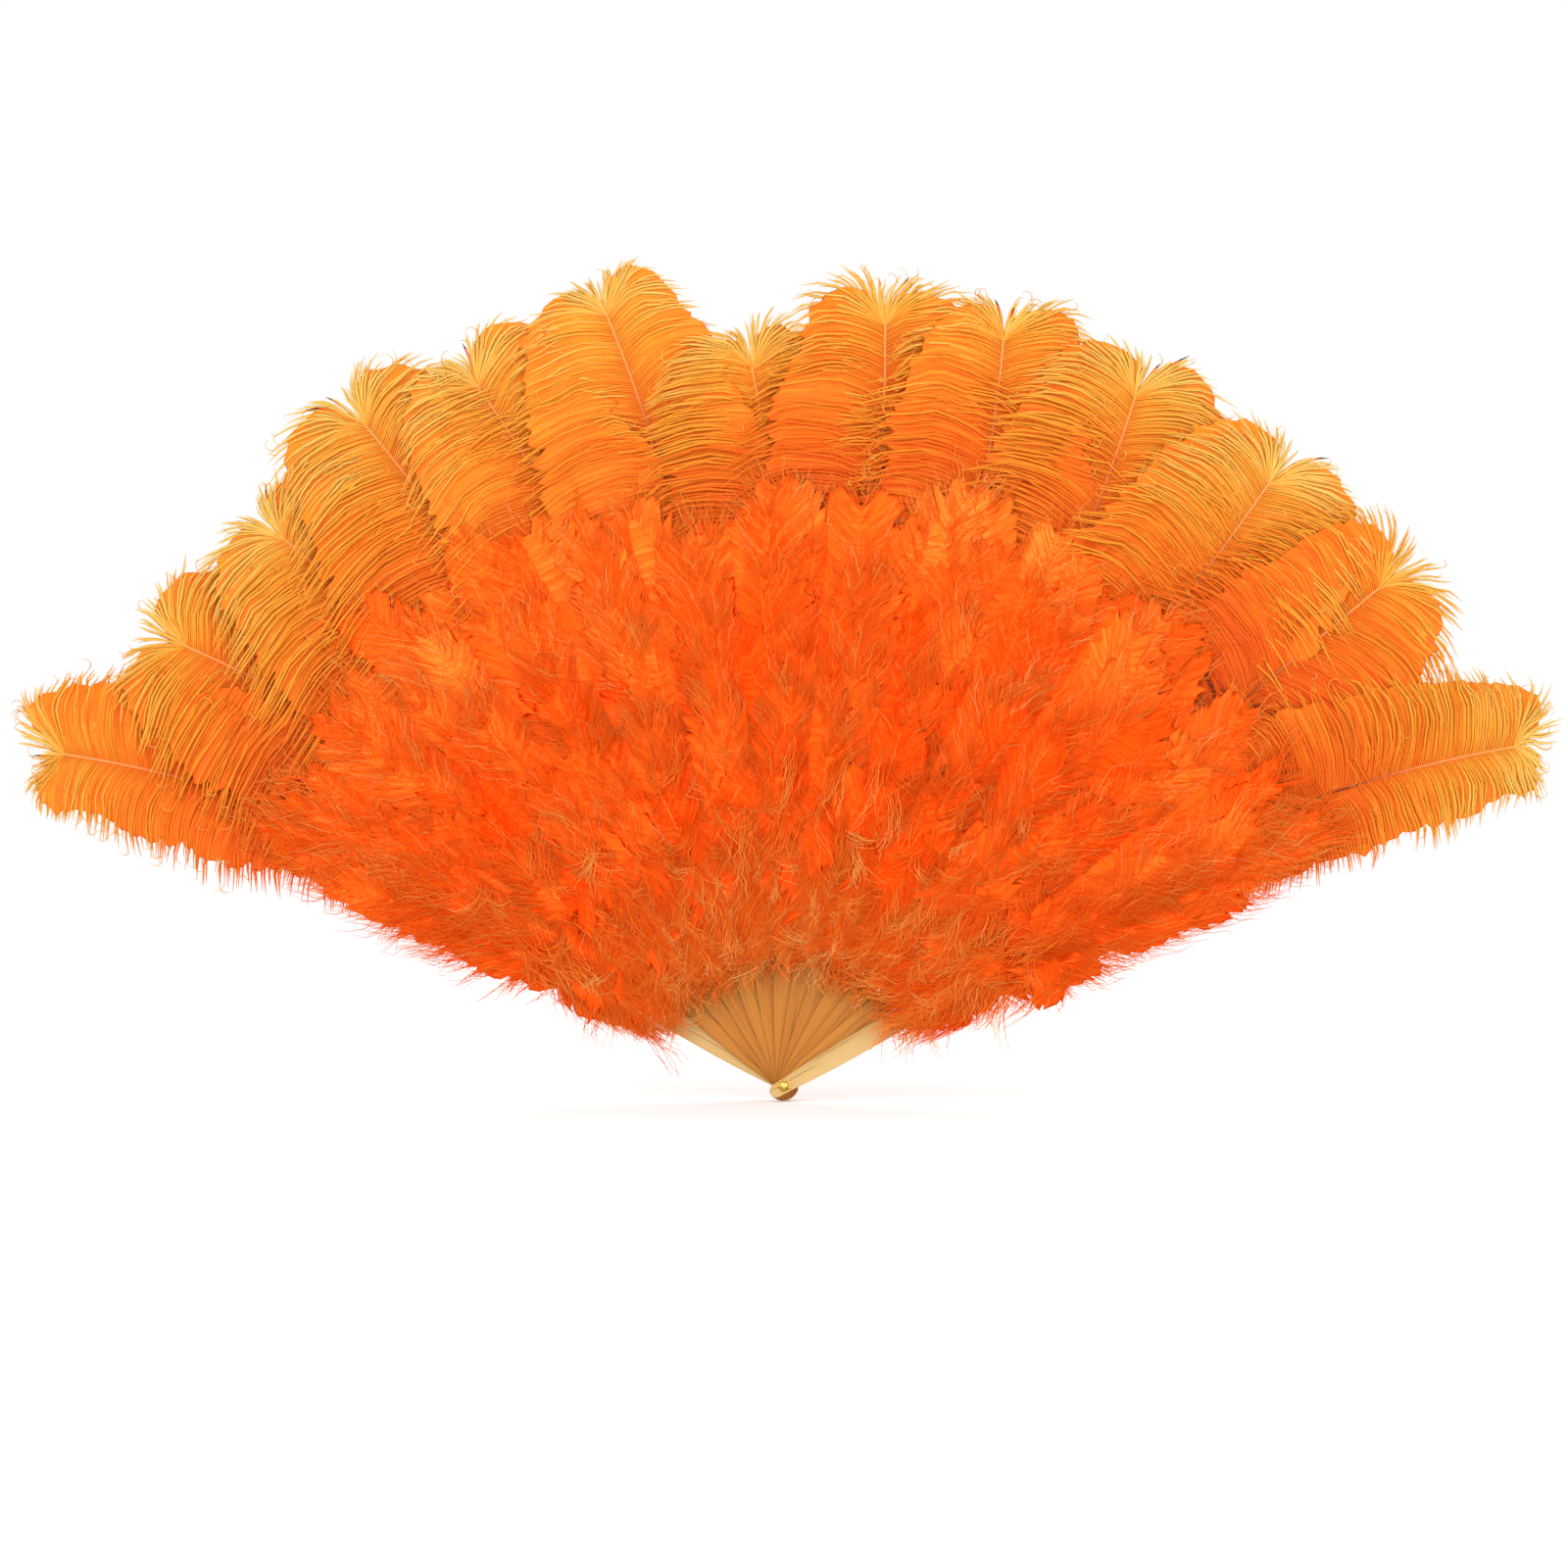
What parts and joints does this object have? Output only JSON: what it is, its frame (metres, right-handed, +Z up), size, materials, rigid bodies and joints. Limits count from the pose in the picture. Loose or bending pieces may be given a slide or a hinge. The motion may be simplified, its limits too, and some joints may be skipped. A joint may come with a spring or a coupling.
{
  "type": "feather fan",
  "caption": "Folding hand fan with bamboo sticks on one rivet, a base of fluffy marabou down and a rim of broad ostrich plumes in fiery orange.",
  "frame": {"origin": "on the rivet's axis, halfway through the stack of sticks", "axes": "+X across the open fan to the viewer's right, -Y out of the fan's front, +Z up along the middle stick towards its plume"},
  "size_m": [0.77, 0.0591, 0.4189],
  "materials": {
    "bamboo": "satin",
    "guard_bamboo": "satin",
    "ostrich": "matte",
    "marabou": "matte",
    "ribbon": "satin",
    "brass": "polished"
  },
  "bodies": {
    "left_guard_leaf": {"guard_stick_left": "guard_bamboo", "plume_01": "ostrich", "marabou_01": "marabou", "ribbon_01": "ribbon"},
    "leaf_02": {"stick_02": "bamboo", "plume_02": "ostrich", "marabou_02": "marabou", "ribbon_02": "ribbon"},
    "leaf_03": {"stick_03": "bamboo", "plume_03": "ostrich", "marabou_03": "marabou", "ribbon_03": "ribbon"},
    "leaf_04": {"stick_04": "bamboo", "plume_04": "ostrich", "marabou_04": "marabou", "ribbon_04": "ribbon"},
    "leaf_05": {"stick_05": "bamboo", "plume_05": "ostrich", "marabou_05": "marabou", "ribbon_05": "ribbon"},
    "leaf_06": {"stick_06": "bamboo", "plume_06": "ostrich", "marabou_06": "marabou", "ribbon_06": "ribbon"},
    "centre_leaf": {"stick_07": "bamboo", "plume_07": "ostrich", "marabou_07": "marabou", "rivet": "brass", "washer_front": "brass", "washer_back": "brass"},
    "leaf_08": {"stick_08": "bamboo", "plume_08": "ostrich", "marabou_08": "marabou", "ribbon_08": "ribbon"},
    "leaf_09": {"stick_09": "bamboo", "plume_09": "ostrich", "marabou_09": "marabou", "ribbon_09": "ribbon"},
    "leaf_10": {"stick_10": "bamboo", "plume_10": "ostrich", "marabou_10": "marabou", "ribbon_10": "ribbon"},
    "leaf_11": {"stick_11": "bamboo", "plume_11": "ostrich", "marabou_11": "marabou", "ribbon_11": "ribbon"},
    "leaf_12": {"stick_12": "bamboo", "plume_12": "ostrich", "marabou_12": "marabou", "ribbon_12": "ribbon"},
    "right_guard_leaf": {"guard_stick_right": "guard_bamboo", "plume_13": "ostrich", "marabou_13": "marabou", "ribbon_13": "ribbon"}
  },
  "joints": [
    {"name": "right_guard_fold", "type": "hinge", "parent": "centre_leaf", "child": "right_guard_leaf", "pos_m": [0, 0, 0], "axis": [0, -1, 0], "range_deg": [0, 60], "deforming": ["marabou_13", "ribbon_13", "marabou_07"]},
    {"name": "left_guard_fold", "type": "hinge", "parent": "centre_leaf", "child": "left_guard_leaf", "pos_m": [0, 0, 0], "axis": [0, -1, 0], "range_deg": [-60, 0], "deforming": ["marabou_01", "ribbon_01"]},
    {"name": "leaf_02_fold", "type": "hinge", "parent": "centre_leaf", "child": "leaf_02", "pos_m": [0, 0, 0], "axis": [0, -1, 0], "range_deg": [-50, 0], "deforming": ["marabou_02", "ribbon_02"]},
    {"name": "leaf_03_fold", "type": "hinge", "parent": "centre_leaf", "child": "leaf_03", "pos_m": [0, 0, 0], "axis": [0, -1, 0], "range_deg": [-40, 0], "deforming": ["marabou_03", "ribbon_03"]},
    {"name": "leaf_04_fold", "type": "hinge", "parent": "centre_leaf", "child": "leaf_04", "pos_m": [0, 0, 0], "axis": [0, -1, 0], "range_deg": [-30, 0], "deforming": ["marabou_04", "ribbon_04"]},
    {"name": "leaf_05_fold", "type": "hinge", "parent": "centre_leaf", "child": "leaf_05", "pos_m": [0, 0, 0], "axis": [0, -1, 0], "range_deg": [-20, 0], "deforming": ["marabou_05", "ribbon_05"]},
    {"name": "leaf_06_fold", "type": "hinge", "parent": "centre_leaf", "child": "leaf_06", "pos_m": [0, 0, 0], "axis": [0, -1, 0], "range_deg": [-10, 0], "deforming": ["marabou_06", "ribbon_06"]},
    {"name": "leaf_08_fold", "type": "hinge", "parent": "centre_leaf", "child": "leaf_08", "pos_m": [0, 0, 0], "axis": [0, -1, 0], "range_deg": [0, 10], "deforming": ["marabou_08", "ribbon_08"]},
    {"name": "leaf_09_fold", "type": "hinge", "parent": "centre_leaf", "child": "leaf_09", "pos_m": [0, 0, 0], "axis": [0, -1, 0], "range_deg": [0, 20], "deforming": ["marabou_09", "ribbon_09"]},
    {"name": "leaf_10_fold", "type": "hinge", "parent": "centre_leaf", "child": "leaf_10", "pos_m": [0, 0, 0], "axis": [0, -1, 0], "range_deg": [0, 30], "deforming": ["marabou_10", "ribbon_10"]},
    {"name": "leaf_11_fold", "type": "hinge", "parent": "centre_leaf", "child": "leaf_11", "pos_m": [0, 0, 0], "axis": [0, -1, 0], "range_deg": [0, 40], "deforming": ["marabou_11", "ribbon_11"]},
    {"name": "leaf_12_fold", "type": "hinge", "parent": "centre_leaf", "child": "leaf_12", "pos_m": [0, 0, 0], "axis": [0, -1, 0], "range_deg": [0, 50], "deforming": ["marabou_12", "ribbon_12"]}
  ],
  "couplings": [
    {"joint": "left_guard_fold", "follows": "right_guard_fold", "ratio": -1},
    {"joint": "leaf_02_fold", "follows": "right_guard_fold", "ratio": -0.83333},
    {"joint": "leaf_03_fold", "follows": "right_guard_fold", "ratio": -0.66667},
    {"joint": "leaf_04_fold", "follows": "right_guard_fold", "ratio": -0.5},
    {"joint": "leaf_05_fold", "follows": "right_guard_fold", "ratio": -0.33333},
    {"joint": "leaf_06_fold", "follows": "right_guard_fold", "ratio": -0.16667},
    {"joint": "leaf_08_fold", "follows": "right_guard_fold", "ratio": 0.16667},
    {"joint": "leaf_09_fold", "follows": "right_guard_fold", "ratio": 0.33333},
    {"joint": "leaf_10_fold", "follows": "right_guard_fold", "ratio": 0.5},
    {"joint": "leaf_11_fold", "follows": "right_guard_fold", "ratio": 0.66667},
    {"joint": "leaf_12_fold", "follows": "right_guard_fold", "ratio": 0.83333}
  ]
}
